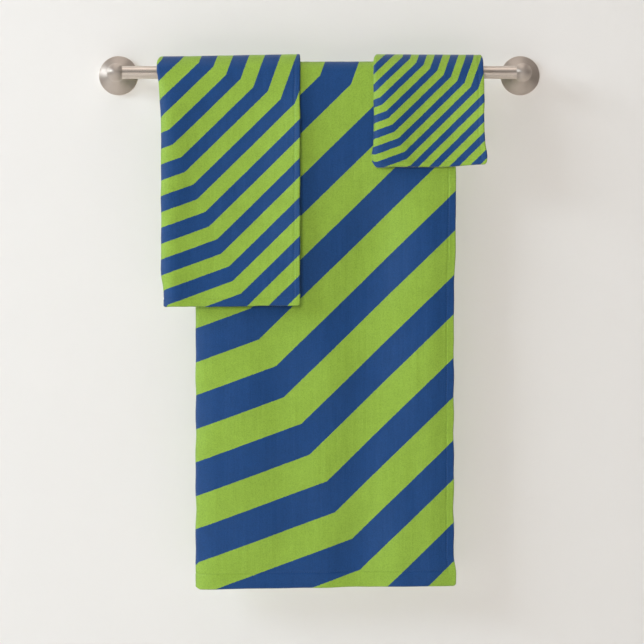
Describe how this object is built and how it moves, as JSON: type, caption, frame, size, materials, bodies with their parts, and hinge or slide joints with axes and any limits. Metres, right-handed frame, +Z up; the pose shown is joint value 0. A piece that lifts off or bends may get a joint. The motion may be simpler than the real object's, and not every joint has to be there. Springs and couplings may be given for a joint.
{
  "type": "bath towel set",
  "caption": "Bath towel, hand towel and wash cloth in a two-colour angular stripe, each folded lengthwise and draped over a round wall rail with bell-shaped posts.",
  "frame": {"origin": "on the wall plane, midway between the two posts, at the height of the bar's axis", "axes": "+X along the bar to the right as seen from the room, +Y into the wall, +Z up"},
  "size_m": [0.658, 0.1278, 0.79],
  "materials": {
    "satin_nickel": "satin brushed nickel plate on brass tube and zinc castings",
    "zinc_plate": "zinc-plated pressed steel",
    "screw_steel": "bright zinc-plated steel",
    "anchor_plastic": "moulded nylon wall plug",
    "printed_terry": "cotton terry, printed on its face in blue and green stripes, white on the reverse",
    "sewing_thread": "cotton-polyester sewing thread",
    "label_tape": "blank white satin label tape"
  },
  "bodies": {
    "rail": {"bar_tube": "satin_nickel", "left_post": "satin_nickel", "left_mounting_plate": "zinc_plate", "left_set_screw": "screw_steel", "left_upper_wall_screw": "screw_steel", "left_lower_wall_screw": "screw_steel", "left_upper_wall_anchor": "anchor_plastic", "left_lower_wall_anchor": "anchor_plastic", "right_post": "satin_nickel", "right_mounting_plate": "zinc_plate", "right_set_screw": "screw_steel", "right_upper_wall_screw": "screw_steel", "right_lower_wall_screw": "screw_steel", "right_upper_wall_anchor": "anchor_plastic", "right_lower_wall_anchor": "anchor_plastic"},
    "bath_towel": {"bath_towel_cloth": "printed_terry", "bath_towel_front_hem_thread": "sewing_thread", "bath_towel_back_hem_thread": "sewing_thread", "bath_towel_side_hem_thread": "sewing_thread", "bath_towel_care_label": "label_tape"},
    "hand_towel": {"hand_towel_cloth": "printed_terry", "hand_towel_front_hem_thread": "sewing_thread", "hand_towel_back_hem_thread": "sewing_thread", "hand_towel_side_hem_thread": "sewing_thread", "hand_towel_care_label": "label_tape"},
    "wash_cloth": {"wash_cloth_cloth": "printed_terry", "wash_cloth_front_hem_thread": "sewing_thread", "wash_cloth_back_hem_thread": "sewing_thread", "wash_cloth_side_hem_thread": "sewing_thread", "wash_cloth_care_label": "label_tape"}
  },
  "joints": [
    {"name": "bath_towel_slide", "type": "slide", "parent": "rail", "child": "bath_towel", "axis": [1, 0, 0], "range_m": [-0.1, 0.08]},
    {"name": "hand_towel_slide", "type": "slide", "parent": "rail", "child": "hand_towel", "axis": [1, 0, 0], "range_m": [-0.04, 0.06]},
    {"name": "wash_cloth_slide", "type": "slide", "parent": "rail", "child": "wash_cloth", "axis": [1, 0, 0], "range_m": [-0.04, 0.04]}
  ]
}
